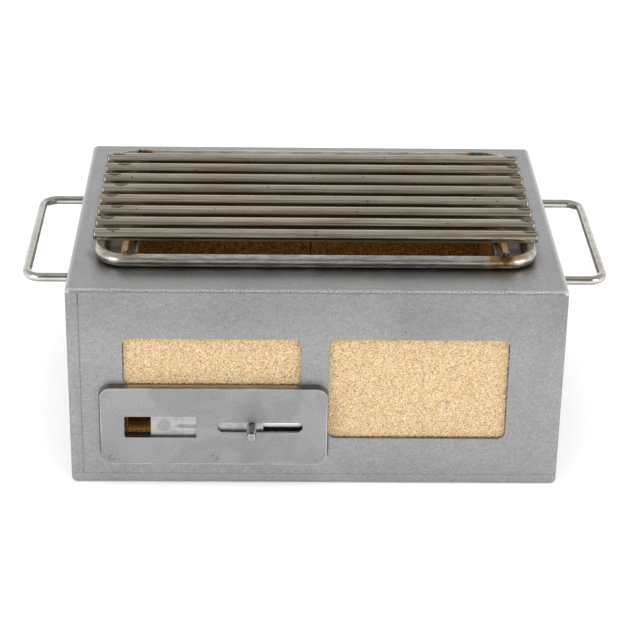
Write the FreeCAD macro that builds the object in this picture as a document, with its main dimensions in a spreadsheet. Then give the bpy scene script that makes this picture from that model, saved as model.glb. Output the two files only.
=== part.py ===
"""Table-top hibachi grill: a sheet steel casing lined with firebrick, a front air vent with a
sliding damper, two carrying handles, a welded cooking grate and a charcoal grate inside.

Millimetres. X runs to the right and Y to the back, seen from the vent side, and Z runs up.
The origin is the middle of the casing's underside, so the front face is at Y = -depth / 2.
"""
import FreeCAD
import Part
import Sketcher
import os

doc = FreeCAD.newDocument("hibachi_grill")
Vector = FreeCAD.Vector
SQUARE = 10.0  # side of the square that every rectangle is before its constraints pull it into place

SIZES = {
    # casing: outer box, its sheet and its bends
    "width": 316.0,
    "depth": 246.0,
    "tall": 138.0,
    "sheet": 2.0,
    "corner_radius": 4.0,
    "inner_corner_radius": 2.0,
    "top_edge_radius": 1.2,
    "tray_lip": 7.0,
    "tray_bend": 3.0,
    "seam_inset": 8.2,
    "seam_width": 0.4,
    "seam_groove": 0.15,
    # opening of the top panel, its front and back edges counted from the front face
    "opening_half": 126.6,
    "opening_front": 43.0,
    "opening_back": 211.0,
    "opening_radius": 4.0,
    # windows in the front wall, each side of the middle pillar
    "left_window_left": -123.0,
    "left_window_right": -9.6,
    "left_window_low": 71.5,
    "right_window_left": 8.0,
    "right_window_right": 122.5,
    "right_window_low": 33.6,
    "window_high": 104.8,
    "window_radius": 5.0,
    # vent cover, its two guide strips and its two cut-outs
    "cover_left": -137.7,
    "cover_right": 7.5,
    "cover_low": 16.8,
    "cover_high": 71.7,
    "cover_radius": 7.0,
    "cover_sheet": 2.0,
    "guide_thick": 3.0,
    "guide_low_top": 34.0,
    "guide_high_base": 54.0,
    "hole_left": -122.4,
    "hole_right": -76.3,
    "hole_low": 36.4,
    "hole_high": 51.5,
    "hole_radius": 1.0,
    "slot_left": -62.8,
    "slot_right": -8.3,
    "slot_middle": 44.0,
    "slot_half": 3.5,
    # openings of the front wall behind the vent cover
    "port_left": -123.0,
    "port_right": -75.5,
    "port_low": 35.0,
    "port_high": 53.0,
    "relief_left": -66.0,
    "relief_right": -5.0,
    "relief_low": 35.5,
    "relief_high": 41.8,
    # damper plate and its pin
    "slider_left": -105.5,
    "slider_right": -33.5,
    "slider_low": 34.5,
    "slider_high": 53.5,
    "slider_sheet": 2.0,
    "slider_play": 0.5,
    "slider_radius": 1.5,
    "pin_across": -41.0,
    "pin_radius": 3.0,
    "pin_reach": 13.1,
    "pin_round": 1.2,
    # firebrick lining
    "brick": 34.0,
    "base_brick": 25.0,
    "brick_gap": 0.4,
    "brick_headroom": 0.6,
    "brick_chamfer": 1.0,
    "tunnel_left": -121.0,
    "tunnel_right": -77.0,
    "tunnel_low": 37.5,
    "tunnel_high": 54.0,
    # carrying handles
    "handle_rod": 3.0,
    "handle_level": 119.7,
    "handle_reach": 30.8,
    "handle_half_span": 64.2,
    "handle_bend": 10.0,
    "weld_foot": 5.4,
    "weld_rise": 2.6,
    # cooking grate; its front and back rails are counted from the front face
    "grate_rod": 4.0,
    "grate_lift": 0.3,
    "grate_half": 138.55,
    "grate_front": 37.1,
    "grate_back": 216.7,
    "grate_corner": 16.0,
    "bar_half": 144.0,
    "bar_sink": 1.1,
    "bar_first": 61.6,
    "bar_pitch": 18.7,
    "bar_round": 1.4,
    "strap_inner": 114.7,
    "strap_thick": 3.5,
    "strap_base": 0.5,
    "strap_weld": 3.4,
    "strap_weld_offset": 4.2,
    "bar_weld": 2.4,
    # charcoal grate
    "fire_rod": 2.5,
    "fire_bar": 2.0,
    "fire_half_x": 114.0,
    "fire_half_y": 80.0,
    "fire_corner": 10.0,
    "fire_level": 55.0,
    "fire_foot_x": 90.0,
    "fire_pitch": 14.0,
}
BARS = 8
FIRE_BARS = 16

sheet = doc.addObject("Spreadsheet::Sheet", "Sizes")
for row, (alias, number) in enumerate(SIZES.items(), start=1):
    sheet.set("A%d" % row, alias)
    sheet.set("B%d" % row, repr(number))
    sheet.setAlias("B%d" % row, alias)
doc.recompute()

# Expressions that several pieces share.
FRONT = "-Sizes.depth / 2"
HALF_WIDTH = "Sizes.width / 2"
PANEL_BASE = "(Sizes.tall - Sizes.sheet)"
LINING_X = "(Sizes.width / 2 - Sizes.sheet)"
LINING_Y = "(Sizes.depth / 2 - Sizes.sheet)"
LINING_BASE = "(Sizes.sheet + Sizes.base_brick)"
LINING_TOP = "(Sizes.tall - Sizes.sheet - Sizes.brick_headroom)"
RAIL_LEVEL = "(Sizes.tall + Sizes.grate_lift + Sizes.grate_rod)"
BAR_LEVEL = "(Sizes.tall + Sizes.grate_lift + 3 * Sizes.grate_rod - Sizes.bar_sink)"
RAIL_FRONT = "(Sizes.grate_front - Sizes.depth / 2)"
RAIL_BACK = "(Sizes.grate_back - Sizes.depth / 2)"

nodes = {}


# ---------------------------------------------------------------- helpers for bodies and sketches


def new_body(label):
    """An empty PartDesign body that will be one node."""
    body = doc.addObject("PartDesign::Body", label)
    body.Label = label
    nodes[label] = body
    return body


def sketch_on(body, role, name, offset="0"):
    """A sketch on one of the body's own origin planes, moved along the plane's normal by offset."""
    sketch = body.newObject("Sketcher::SketchObject", name)
    plane = next(f for f in body.Origin.OriginFeatures if f.Role == role)
    sketch.AttachmentSupport = [(plane, "")]
    sketch.MapMode = "FlatFace"
    sketch.setExpression(".AttachmentOffset.Base.z", offset)
    return sketch


def hold(sketch, kind, geometry, point, expression):
    """Holds one point at a signed distance from the sketch's origin."""
    index = sketch.addConstraint(Sketcher.Constraint(kind, -1, 1, geometry, point, SQUARE))
    sketch.setExpression("Constraints[%d]" % index, expression)


def rectangle(sketch, left, right, low, high):
    """A rectangle whose sides are held at four expressions."""
    first = sketch.GeometryCount
    corners = [Vector(0, 0, 0), Vector(SQUARE, 0, 0), Vector(SQUARE, SQUARE, 0), Vector(0, SQUARE, 0)]
    for i in range(4):
        sketch.addGeometry(Part.LineSegment(corners[i], corners[(i + 1) % 4]))
    for i in range(4):
        joined = Sketcher.Constraint("Coincident", first + i, 2, first + (i + 1) % 4, 1)
        sketch.addConstraint(joined)
        flat = "Horizontal" if i % 2 == 0 else "Vertical"
        sketch.addConstraint(Sketcher.Constraint(flat, first + i))
    hold(sketch, "DistanceX", first, 1, left)
    hold(sketch, "DistanceY", first, 1, low)
    hold(sketch, "DistanceX", first + 2, 1, right)
    hold(sketch, "DistanceY", first + 2, 1, high)


def circle(sketch, across, up, radius):
    """A circle held at two expressions."""
    made = sketch.addGeometry(Part.Circle(Vector(SQUARE, SQUARE, 0), Vector(0, 0, 1), SQUARE))
    hold(sketch, "DistanceX", made, 3, across)
    hold(sketch, "DistanceY", made, 3, up)
    index = sketch.addConstraint(Sketcher.Constraint("Radius", made, SQUARE))
    sketch.setExpression("Constraints[%d]" % index, radius)


def pad(body, sketch, length, name="Pad"):
    """Raises the sketch along its own normal."""
    feature = body.newObject("PartDesign::Pad", name)
    feature.Profile = sketch
    feature.setExpression("Length", length)
    sketch.Visibility = False
    doc.recompute()
    return feature


def pocket(body, sketch, length, name="Pocket"):
    """Cuts against the sketch's normal, and stops if nothing was cut."""
    before = body.Shape.Volume
    feature = body.newObject("PartDesign::Pocket", name)
    feature.Profile = sketch
    feature.setExpression("Length", length)
    sketch.Visibility = False
    doc.recompute()
    if not body.Shape.Volume < before - 0.01:
        raise RuntimeError("%s cut nothing from %s" % (name, body.Label))
    return feature


def straight_edges(shape, axis, keep):
    """Names of the straight edges along an axis whose middle passes the keep test."""
    names = []
    for number, edge in enumerate(shape.Edges, start=1):
        if not isinstance(edge.Curve, (Part.Line, Part.LineSegment)):
            continue
        along = abs(edge.Vertexes[-1].Point.sub(edge.Vertexes[0].Point).normalize().dot(axis))
        if along > 0.999 and keep(edge.CenterOfMass):
            names.append("Edge%d" % number)
    return names


def soften(body, names, radius, kind="Fillet"):
    """Fillets or chamfers the named edges of the body's last feature."""
    last = body.Tip
    feature = body.newObject("PartDesign::" + kind, kind)
    feature.Base = (last, names)
    feature.setExpression("Radius" if kind == "Fillet" else "Size", radius)
    doc.recompute()
    return feature


ALONG_X = Vector(1, 0, 0)
ALONG_Y = Vector(0, 1, 0)
ALONG_Z = Vector(0, 0, 1)


def anywhere(point):
    """Keeps every edge."""
    return True


def at_corner(point):
    """Keeps what lies at the outer corners of the casing."""
    reach_x = abs(abs(point.x) - SIZES["width"] / 2)
    reach_y = abs(abs(point.y) - SIZES["depth"] / 2)
    return reach_x < 0.01 and reach_y < 0.01


def off_corner(point):
    """Keeps what lies well inside the outer surface of the casing."""
    inside_x = abs(point.x) < SIZES["width"] / 2 - SIZES["sheet"] / 2
    inside_y = abs(point.y) < SIZES["depth"] / 2 - SIZES["sheet"] / 2
    return inside_x and inside_y


def rim_edges(shape, level):
    """Names of the edges of the casing's outer outline at one height, bends included."""
    names = []
    for number, edge in enumerate(shape.Edges, start=1):
        box = edge.BoundBox
        flat = abs(box.ZMin - level) < 0.01 and abs(box.ZMax - level) < 0.01
        furthest_x = max(abs(box.XMin), abs(box.XMax)) > SIZES["width"] / 2 - 0.01
        furthest_y = max(abs(box.YMin), abs(box.YMax)) > SIZES["depth"] / 2 - 0.01
        if flat and (furthest_x or furthest_y):
            names.append("Edge%d" % number)
    return names


# ---------------------------------------------------------------- helpers for rods and primitives

TURNS = {
    "x": FreeCAD.Rotation(Vector(0, 1, 0), 90),
    "y": FreeCAD.Rotation(Vector(1, 0, 0), -90),
    "z": FreeCAD.Rotation(),
}


def put(thing, across, back, up):
    """Binds a primitive's position to three expressions."""
    thing.setExpression(".Placement.Base.x", across)
    thing.setExpression(".Placement.Base.y", back)
    thing.setExpression(".Placement.Base.z", up)
    return thing


def rod(name, radius, length, axis, across, back, up):
    """A round rod from one point along +X, +Y or +Z."""
    thing = doc.addObject("Part::Cylinder", name)
    thing.setExpression("Radius", radius)
    thing.setExpression("Height", length)
    thing.Placement = FreeCAD.Placement(Vector(), TURNS[axis])
    return put(thing, across, back, up)


def bend(name, rod_radius, bend_radius, start, across, back, up):
    """A quarter turn of rod in the horizontal plane, from the start angle anticlockwise."""
    thing = doc.addObject("Part::Torus", name)
    thing.setExpression("Radius1", bend_radius)
    thing.setExpression("Radius2", rod_radius)
    thing.Angle3 = 90
    thing.Placement = FreeCAD.Placement(Vector(), FreeCAD.Rotation(ALONG_Z, start))
    return put(thing, across, back, up)


def ball(name, radius, across, back, up):
    """A sphere held at three expressions."""
    thing = doc.addObject("Part::Sphere", name)
    thing.setExpression("Radius", radius)
    return put(thing, across, back, up)


def fuse(label, things):
    """Joins things that meet into one solid, which is one node."""
    thing = doc.addObject("Part::MultiFuse", label)
    thing.Label = label
    thing.Shapes = things
    nodes[label] = thing
    return thing


def group(label, things):
    """Keeps separate solids together as one node."""
    thing = doc.addObject("Part::Compound", label)
    thing.Label = label
    thing.Links = things
    nodes[label] = thing
    return thing


def rod_loop(label, rod_radius, half, front, back, corner, level):
    """The straight sides and quarter turns of a closed rounded rectangle of rod."""
    inner = "(%s - %s)" % (half, corner)
    near = "(%s + %s)" % (front, corner)
    far = "(%s - %s)" % (back, corner)
    run_x = "2 * %s" % inner
    run_y = "%s - %s" % (far, near)
    return [
        rod(label + "_front", rod_radius, run_x, "x", "-" + inner, front, level),
        rod(label + "_back", rod_radius, run_x, "x", "-" + inner, back, level),
        rod(label + "_left", rod_radius, run_y, "y", "-" + half, near, level),
        rod(label + "_right", rod_radius, run_y, "y", half, near, level),
        bend(label + "_bend_1", rod_radius, corner, 0, inner, far, level),
        bend(label + "_bend_2", rod_radius, corner, 90, "-" + inner, far, level),
        bend(label + "_bend_3", rod_radius, corner, 180, "-" + inner, near, level),
        bend(label + "_bend_4", rod_radius, corner, 270, inner, near, level),
    ]


# ---------------------------------------------------------------- casing


def front_sketch(body, name, proud="0"):
    """A sketch facing the front, on the casing's front face moved forward by proud."""
    return sketch_on(body, "XZ_Plane", name, "Sizes.depth / 2 + %s" % proud)


def casing_walls():
    """One strip bent round four corners, with two windows and the vent's openings at the front."""
    body = new_body("casing_walls")
    outline = sketch_on(body, "XY_Plane", "WallOutline", "Sizes.tray_lip")
    rectangle(outline, "-" + HALF_WIDTH, HALF_WIDTH, FRONT, "Sizes.depth / 2")
    pad(body, outline, "Sizes.tall - Sizes.sheet - Sizes.tray_lip")
    soften(body, straight_edges(body.Shape, ALONG_Z, at_corner), "Sizes.corner_radius")
    hollow = sketch_on(body, "XY_Plane", "WallHollow", PANEL_BASE)
    rectangle(hollow, "-" + LINING_X, LINING_X, "-" + LINING_Y, LINING_Y)
    pocket(body, hollow, "Sizes.tall")
    soften(body, straight_edges(body.Shape, ALONG_Z, off_corner), "Sizes.inner_corner_radius")

    windows = front_sketch(body, "WindowOutlines")
    for side in ("left", "right"):
        edges = ["Sizes." + side + "_window_" + edge for edge in ("left", "right", "low")]
        rectangle(windows, *edges, "Sizes.window_high")
    pocket(body, windows, "2 * Sizes.sheet", "WindowCut")
    soften(body, straight_edges(body.Shape, ALONG_Y, at_window), "Sizes.window_radius")

    ports = front_sketch(body, "VentPorts")
    rectangle(ports, "Sizes.port_left", "Sizes.port_right", "Sizes.port_low", "Sizes.port_high")
    rectangle(ports, "Sizes.relief_left", "Sizes.relief_right", "Sizes.relief_low", "Sizes.relief_high")
    pocket(body, ports, "2 * Sizes.sheet", "VentPortCut")

    seam = front_sketch(body, "SeamLine")
    middle = "Sizes.seam_inset - Sizes.width / 2"
    rectangle(
        seam, middle + " - Sizes.seam_width / 2", middle + " + Sizes.seam_width / 2", "0", "Sizes.tall"
    )
    pocket(body, seam, "Sizes.seam_groove", "SeamGroove")


def at_window(point):
    """Keeps the through edges at the corners of the two windows."""
    across = SIZES["left_window_left"] - 0.1 < point.x < SIZES["right_window_right"] + 0.1
    return across and point.y < 0 and SIZES["right_window_low"] - 0.1 < point.z < SIZES["window_high"] + 0.1


def top_panel():
    """Flat lid with the fire opening, welded to the walls and ground round at its outer edge."""
    body = new_body("top_panel")
    outline = sketch_on(body, "XY_Plane", "PanelOutline", PANEL_BASE)
    rectangle(outline, "-" + HALF_WIDTH, HALF_WIDTH, FRONT, "Sizes.depth / 2")
    pad(body, outline, "Sizes.sheet")
    soften(body, straight_edges(body.Shape, ALONG_Z, at_corner), "Sizes.corner_radius")
    opening = sketch_on(body, "XY_Plane", "FireOpening", "Sizes.tall")
    rectangle(
        opening,
        "-Sizes.opening_half",
        "Sizes.opening_half",
        "Sizes.opening_front - Sizes.depth / 2",
        "Sizes.opening_back - Sizes.depth / 2",
    )
    pocket(body, opening, "2 * Sizes.sheet", "FireOpeningCut")
    soften(body, straight_edges(body.Shape, ALONG_Z, off_corner), "Sizes.opening_radius")
    soften(body, rim_edges(body.Shape, SIZES["tall"]), "Sizes.top_edge_radius")


def base_tray():
    """Shallow floor pan whose lip meets the lower edge of the walls."""
    body = new_body("base_tray")
    outline = sketch_on(body, "XY_Plane", "TrayOutline")
    rectangle(outline, "-" + HALF_WIDTH, HALF_WIDTH, FRONT, "Sizes.depth / 2")
    pad(body, outline, "Sizes.tray_lip")
    soften(body, straight_edges(body.Shape, ALONG_Z, at_corner), "Sizes.corner_radius")
    hollow = sketch_on(body, "XY_Plane", "TrayHollow", "Sizes.tray_lip")
    rectangle(hollow, "-" + LINING_X, LINING_X, "-" + LINING_Y, LINING_Y)
    pocket(body, hollow, "Sizes.tray_lip - Sizes.sheet")
    soften(body, straight_edges(body.Shape, ALONG_Z, off_corner), "Sizes.inner_corner_radius")
    soften(body, rim_edges(body.Shape, 0.0), "Sizes.tray_bend")


# ---------------------------------------------------------------- air vent


def cover_edge(low, high):
    """A test that keeps the through edges at the cover's outer corners between two heights."""

    def keep(point):
        sides = (abs(point.x - SIZES["cover_left"]), abs(point.x - SIZES["cover_right"]))
        return min(sides) < 0.01 and low < point.z < high

    return keep


def vent_cover():
    """Plate over the damper, with the air hole and the slot that the pin runs in."""
    body = new_body("vent_cover")
    outline = front_sketch(body, "CoverOutline", "Sizes.guide_thick")
    rectangle(outline, "Sizes.cover_left", "Sizes.cover_right", "Sizes.cover_low", "Sizes.cover_high")
    pad(body, outline, "Sizes.cover_sheet")
    everywhere = cover_edge(0.0, SIZES["tall"])
    soften(body, straight_edges(body.Shape, ALONG_Y, everywhere), "Sizes.cover_radius")
    hole = front_sketch(body, "AirHole", "Sizes.guide_thick + Sizes.cover_sheet")
    rectangle(hole, "Sizes.hole_left", "Sizes.hole_right", "Sizes.hole_low", "Sizes.hole_high")
    pocket(body, hole, "2 * Sizes.cover_sheet", "AirHoleCut")
    soften(body, straight_edges(body.Shape, ALONG_Y, at_air_hole), "Sizes.hole_radius")
    pin_slot(body)


def at_air_hole(point):
    """Keeps the through edges at the corners of the cover's air hole."""
    return min(abs(point.x - SIZES["hole_left"]), abs(point.x - SIZES["hole_right"])) < 0.01


def pin_slot(body):
    """The slot with round ends: a straight cut and a round one at each end."""
    proud = "Sizes.guide_thick + Sizes.cover_sheet"
    middle = front_sketch(body, "SlotMiddle", proud)
    left = "Sizes.slot_left + Sizes.slot_half"
    right = "Sizes.slot_right - Sizes.slot_half"
    rectangle(
        middle,
        left,
        right,
        "Sizes.slot_middle - Sizes.slot_half",
        "Sizes.slot_middle + Sizes.slot_half",
    )
    pocket(body, middle, "2 * Sizes.cover_sheet", "SlotMiddleCut")
    ends = front_sketch(body, "SlotEnds", proud)
    circle(ends, left, "Sizes.slot_middle", "Sizes.slot_half")
    circle(ends, right, "Sizes.slot_middle", "Sizes.slot_half")
    pocket(body, ends, "2 * Sizes.cover_sheet", "SlotEndCut")


def vent_guide(label, low, high, keep):
    """Strip that holds the cover off the wall and guides one long edge of the damper."""
    body = new_body(label)
    outline = front_sketch(body, label + "_outline")
    rectangle(outline, "Sizes.cover_left", "Sizes.cover_right", low, high)
    pad(body, outline, "Sizes.guide_thick")
    soften(body, straight_edges(body.Shape, ALONG_Y, keep), "Sizes.cover_radius")


def slider_plate():
    """Damper plate that slides behind the cover."""
    body = new_body("slider_plate")
    outline = front_sketch(body, "SliderOutline", "Sizes.slider_play")
    rectangle(outline, "Sizes.slider_left", "Sizes.slider_right", "Sizes.slider_low", "Sizes.slider_high")
    pad(body, outline, "Sizes.slider_sheet")
    soften(body, straight_edges(body.Shape, ALONG_Y, anywhere), "Sizes.slider_radius")
    bore = front_sketch(body, "PinBore", "Sizes.slider_play + Sizes.slider_sheet")
    circle(bore, "Sizes.pin_across", "Sizes.slot_middle", "Sizes.pin_radius")
    pocket(body, bore, "2 * Sizes.slider_sheet", "PinBoreCut")


def slider_pin():
    """Round pin set in the damper plate, which the hand pushes along the slot."""
    body = new_body("slider_pin")
    outline = front_sketch(body, "PinOutline", "Sizes.slider_play")
    circle(outline, "Sizes.pin_across", "Sizes.slot_middle", "Sizes.pin_radius")
    pad(body, outline, "Sizes.guide_thick - Sizes.slider_play + Sizes.cover_sheet + Sizes.pin_reach")
    tip = body.Shape.BoundBox.YMin
    names = [
        "Edge%d" % number
        for number, edge in enumerate(body.Shape.Edges, start=1)
        if edge.BoundBox.YMax < tip + 0.01
    ]
    soften(body, names, "Sizes.pin_round")


# ---------------------------------------------------------------- firebrick lining


def brick(label, left, right, front, back, low, high):
    """A rectangular brick, seen from above, with its edges broken."""
    body = new_body(label)
    outline = sketch_on(body, "XY_Plane", label + "_outline", low)
    rectangle(outline, left, right, front, back)
    pad(body, outline, "%s - %s" % (high, low))
    soften(body, straight_edges(body.Shape, ALONG_Z, anywhere), "Sizes.brick_chamfer", "Chamfer")
    return body


def bricks():
    """Base, front, back and side bricks; the front one on the left has the air tunnel."""
    gap = "Sizes.brick_gap"
    inner_y = "(%s - Sizes.brick)" % LINING_Y
    inner_x = "(%s - Sizes.brick)" % LINING_X
    wall_low = "(%s + %s)" % (LINING_BASE, gap)
    sides = {"left": ("-%s + %s" % (LINING_X, gap), "-" + gap), "right": (gap, "%s - %s" % (LINING_X, gap))}
    made = {}
    for side, (left, right) in sides.items():
        front = "-%s + %s" % (LINING_Y, gap)
        back = "%s - %s" % (LINING_Y, gap)
        brick("base_brick_" + side, left, right, front, back, "Sizes.sheet", LINING_BASE)
        name = "front_brick_" + side
        made[name] = brick(name, left, right, front, "-" + inner_y, wall_low, LINING_TOP)
        brick("back_brick_" + side, left, right, inner_y, back, wall_low, LINING_TOP)
    ends = ("-%s + %s" % (inner_y, gap), "%s - %s" % (inner_y, gap))
    brick("side_brick_left", sides["left"][0], "-" + inner_x, *ends, wall_low, LINING_TOP)
    brick("side_brick_right", inner_x, sides["right"][1], *ends, wall_low, LINING_TOP)

    tunnel = front_sketch(made["front_brick_left"], "AirTunnel")
    rectangle(tunnel, "Sizes.tunnel_left", "Sizes.tunnel_right", "Sizes.tunnel_low", "Sizes.tunnel_high")
    pocket(made["front_brick_left"], tunnel, "Sizes.depth / 2", "AirTunnelCut")


# ---------------------------------------------------------------- handles


def handle(side, sign):
    """A U of round rod welded to the side wall by its two legs, and the weld round each leg."""
    label = "handle_" + side
    wall = "(%s * Sizes.width / 2)" % sign
    bend_x = "(%s * (Sizes.width / 2 + Sizes.handle_reach - Sizes.handle_bend))" % sign
    grip_x = "(%s * (Sizes.width / 2 + Sizes.handle_reach))" % sign
    bend_y = "(Sizes.handle_half_span - Sizes.handle_bend)"
    leg = "Sizes.handle_reach - Sizes.handle_bend"
    leg_start = wall if sign == "1" else bend_x
    level = "Sizes.handle_level"
    radius = "Sizes.handle_rod"
    far_turn, near_turn = (0, 270) if sign == "1" else (90, 180)
    fuse(
        label,
        [
            rod(label + "_leg_back", radius, leg, "x", leg_start, "Sizes.handle_half_span", level),
            rod(label + "_leg_front", radius, leg, "x", leg_start, "-Sizes.handle_half_span", level),
            rod(label + "_grip", radius, "2 * " + bend_y, "y", grip_x, "-" + bend_y, level),
            bend(label + "_bend_back", radius, "Sizes.handle_bend", far_turn, bend_x, bend_y, level),
            bend(label + "_bend_front", radius, "Sizes.handle_bend", near_turn, bend_x, "-" + bend_y, level),
        ],
    )
    welds = []
    for name, leg_y in (("back", "Sizes.handle_half_span"), ("front", "-Sizes.handle_half_span")):
        fillet = doc.addObject("Part::Cone", "%s_fillet_%s" % (label, name))
        fillet.setExpression("Radius1", "Sizes.weld_foot")
        fillet.setExpression("Radius2", "Sizes.handle_rod + 0.2")
        fillet.setExpression("Height", "Sizes.weld_rise")
        turn = 90 if sign == "1" else -90
        fillet.Placement = FreeCAD.Placement(Vector(), FreeCAD.Rotation(ALONG_Y, turn))
        put(fillet, wall, leg_y, level)
        core_start = wall if sign == "1" else wall + " - Sizes.handle_bend"
        core_name = "%s_core_%s" % (label, name)
        core = rod(core_name, radius, "Sizes.handle_bend", "x", core_start, leg_y, level)
        ring = doc.addObject("Part::Cut", "%s_weld_%s" % (label, name))
        ring.Base = fillet
        ring.Tool = core
        welds.append(ring)
    group("handle_welds_" + side, welds)


# ---------------------------------------------------------------- cooking grate


def grate_bar(number):
    """One straight round bar with eased ends, sunk a little into the side rails by its welds."""
    label = "grate_bar_%d" % number
    body = new_body(label)
    outline = sketch_on(body, "YZ_Plane", label + "_outline", "-Sizes.bar_half")
    across = "Sizes.bar_first + %d * Sizes.bar_pitch - Sizes.depth / 2" % (number - 1)
    circle(outline, across, BAR_LEVEL, "Sizes.grate_rod")
    pad(body, outline, "2 * Sizes.bar_half")
    names = [
        "Edge%d" % index
        for index, edge in enumerate(body.Shape.Edges, start=1)
        if edge.BoundBox.XLength < 0.01
    ]
    soften(body, names, "Sizes.bar_round")


def cross_strap(side, left, right):
    """Flat bar on edge under the bars, from the front rail to the back rail."""
    label = "cross_strap_" + side
    body = new_body(label)
    low = "(Sizes.tall + Sizes.grate_lift + Sizes.strap_base)"
    outline = sketch_on(body, "XY_Plane", label + "_outline", low)
    front = RAIL_FRONT + " + Sizes.grate_rod"
    back = RAIL_BACK + " - Sizes.grate_rod"
    rectangle(outline, left, right, front, back)
    pad(body, outline, "2 * Sizes.grate_rod - Sizes.strap_base - Sizes.bar_sink")


def cooking_grate():
    """Rod frame, bars, straps and the welds that hold them together."""
    loop = rod_loop(
        "rail",
        "Sizes.grate_rod",
        "Sizes.grate_half",
        RAIL_FRONT,
        RAIL_BACK,
        "Sizes.grate_corner",
        RAIL_LEVEL,
    )
    fuse("grate_frame", loop)
    outer = "Sizes.strap_inner + Sizes.strap_thick"
    cross_strap("left", "-(%s)" % outer, "-Sizes.strap_inner")
    cross_strap("right", "Sizes.strap_inner", outer)
    for number in range(1, BARS + 1):
        grate_bar(number)

    bar_welds = []
    strap_welds = []
    bead_level = "Sizes.tall + Sizes.grate_lift + 2 * Sizes.grate_rod - Sizes.bar_sink / 2"
    for side, sign in (("left", "-"), ("right", "")):
        for number in range(BARS):
            back = "Sizes.bar_first + %d * Sizes.bar_pitch - Sizes.depth / 2" % number
            name = "bar_bead_%s_%d" % (side, number + 1)
            bar_welds.append(ball(name, "Sizes.bar_weld", sign + "Sizes.grate_half", back, bead_level))
        across = "%s(Sizes.strap_inner + Sizes.strap_weld_offset)" % sign
        ends = (("front", RAIL_FRONT + " + Sizes.grate_rod"), ("back", RAIL_BACK + " - Sizes.grate_rod"))
        for end, back in ends:
            name = "strap_bead_%s_%s" % (side, end)
            strap_welds.append(ball(name, "Sizes.strap_weld", across, back, RAIL_LEVEL))
    group("bar_welds", bar_welds)
    group("strap_welds", strap_welds)


# ---------------------------------------------------------------- charcoal grate


def charcoal_grate():
    """Low grate on four feet that keeps the charcoal above the incoming air."""
    loop = rod_loop(
        "fire_rail",
        "Sizes.fire_rod",
        "Sizes.fire_half_x",
        "(-Sizes.fire_half_y)",
        "Sizes.fire_half_y",
        "Sizes.fire_corner",
        "Sizes.fire_level",
    )
    foot_base = "(%s + Sizes.grate_lift)" % LINING_BASE
    feet = []
    for side, sign in (("left", "-"), ("right", "")):
        for end, back in (("front", "-Sizes.fire_half_y"), ("back", "Sizes.fire_half_y")):
            name = "fire_foot_%s_%s" % (side, end)
            length = "Sizes.fire_level - " + foot_base
            across = sign + "Sizes.fire_foot_x"
            feet.append(rod(name, "Sizes.fire_rod", length, "z", across, back, foot_base))
    fuse("charcoal_grate_frame", loop + feet)

    rods = []
    for number in range(FIRE_BARS):
        across = "%s * Sizes.fire_pitch" % (number - (FIRE_BARS - 1) / 2)
        up = "Sizes.fire_level + Sizes.fire_rod + Sizes.fire_bar"
        length = "2 * (Sizes.fire_half_y + Sizes.fire_rod)"
        start = "-(Sizes.fire_half_y + Sizes.fire_rod)"
        rods.append(rod("fire_bar_%d" % (number + 1), "Sizes.fire_bar", length, "y", across, start, up))
    group("charcoal_grate_rods", rods)


casing_walls()
top_panel()
base_tray()
vent_cover()
vent_guide("vent_guide_lower", "Sizes.cover_low", "Sizes.guide_low_top", cover_edge(0.0, 20.0))
vent_guide("vent_guide_upper", "Sizes.guide_high_base", "Sizes.cover_high", cover_edge(70.0, 138.0))
slider_plate()
slider_pin()
bricks()
handle("left", "-1")
handle("right", "1")
cooking_grate()
charcoal_grate()
doc.recompute()

for thing in doc.Objects:
    if "Invalid" in thing.State or "Error" in thing.State:
        raise RuntimeError("%s failed: %s" % (thing.Label, thing.State))

os.makedirs("parts", exist_ok=True)
for label, thing in nodes.items():
    shape = thing.Shape
    if shape.isNull() or not shape.isValid() or not shape.Solids:
        raise RuntimeError("%s has no valid solid" % label)
    shape.exportStep("parts/%s.step" % label)
    print("%-22s %9.0f mm3  %d solid(s)" % (label, shape.Volume, len(shape.Solids)))
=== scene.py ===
import math
from itertools import product

import bmesh
import bpy
from mathutils import Matrix, Vector, noise


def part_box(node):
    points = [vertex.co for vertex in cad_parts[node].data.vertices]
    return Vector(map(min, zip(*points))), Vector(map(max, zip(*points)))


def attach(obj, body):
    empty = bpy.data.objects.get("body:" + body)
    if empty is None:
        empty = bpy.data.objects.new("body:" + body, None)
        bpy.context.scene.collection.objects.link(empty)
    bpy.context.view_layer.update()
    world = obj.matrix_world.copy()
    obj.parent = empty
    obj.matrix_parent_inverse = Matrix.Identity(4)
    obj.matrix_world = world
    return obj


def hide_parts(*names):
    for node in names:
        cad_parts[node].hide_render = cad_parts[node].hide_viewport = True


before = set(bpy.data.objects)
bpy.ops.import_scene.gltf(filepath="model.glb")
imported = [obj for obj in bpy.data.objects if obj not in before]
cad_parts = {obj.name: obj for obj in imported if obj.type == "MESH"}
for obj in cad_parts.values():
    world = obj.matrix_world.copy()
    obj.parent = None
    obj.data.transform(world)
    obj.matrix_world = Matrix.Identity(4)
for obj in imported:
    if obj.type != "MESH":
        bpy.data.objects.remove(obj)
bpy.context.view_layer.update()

# Looks of a table-top hibachi grill: mill-finish steel casing, granular firebrick, polished
# handles, a heat-tinted rod grate and its weld beads. Metres, +X right, +Y back, +Z up.

MM = 0.001

# ---------------------------------------------------------------- places and sizes

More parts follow.
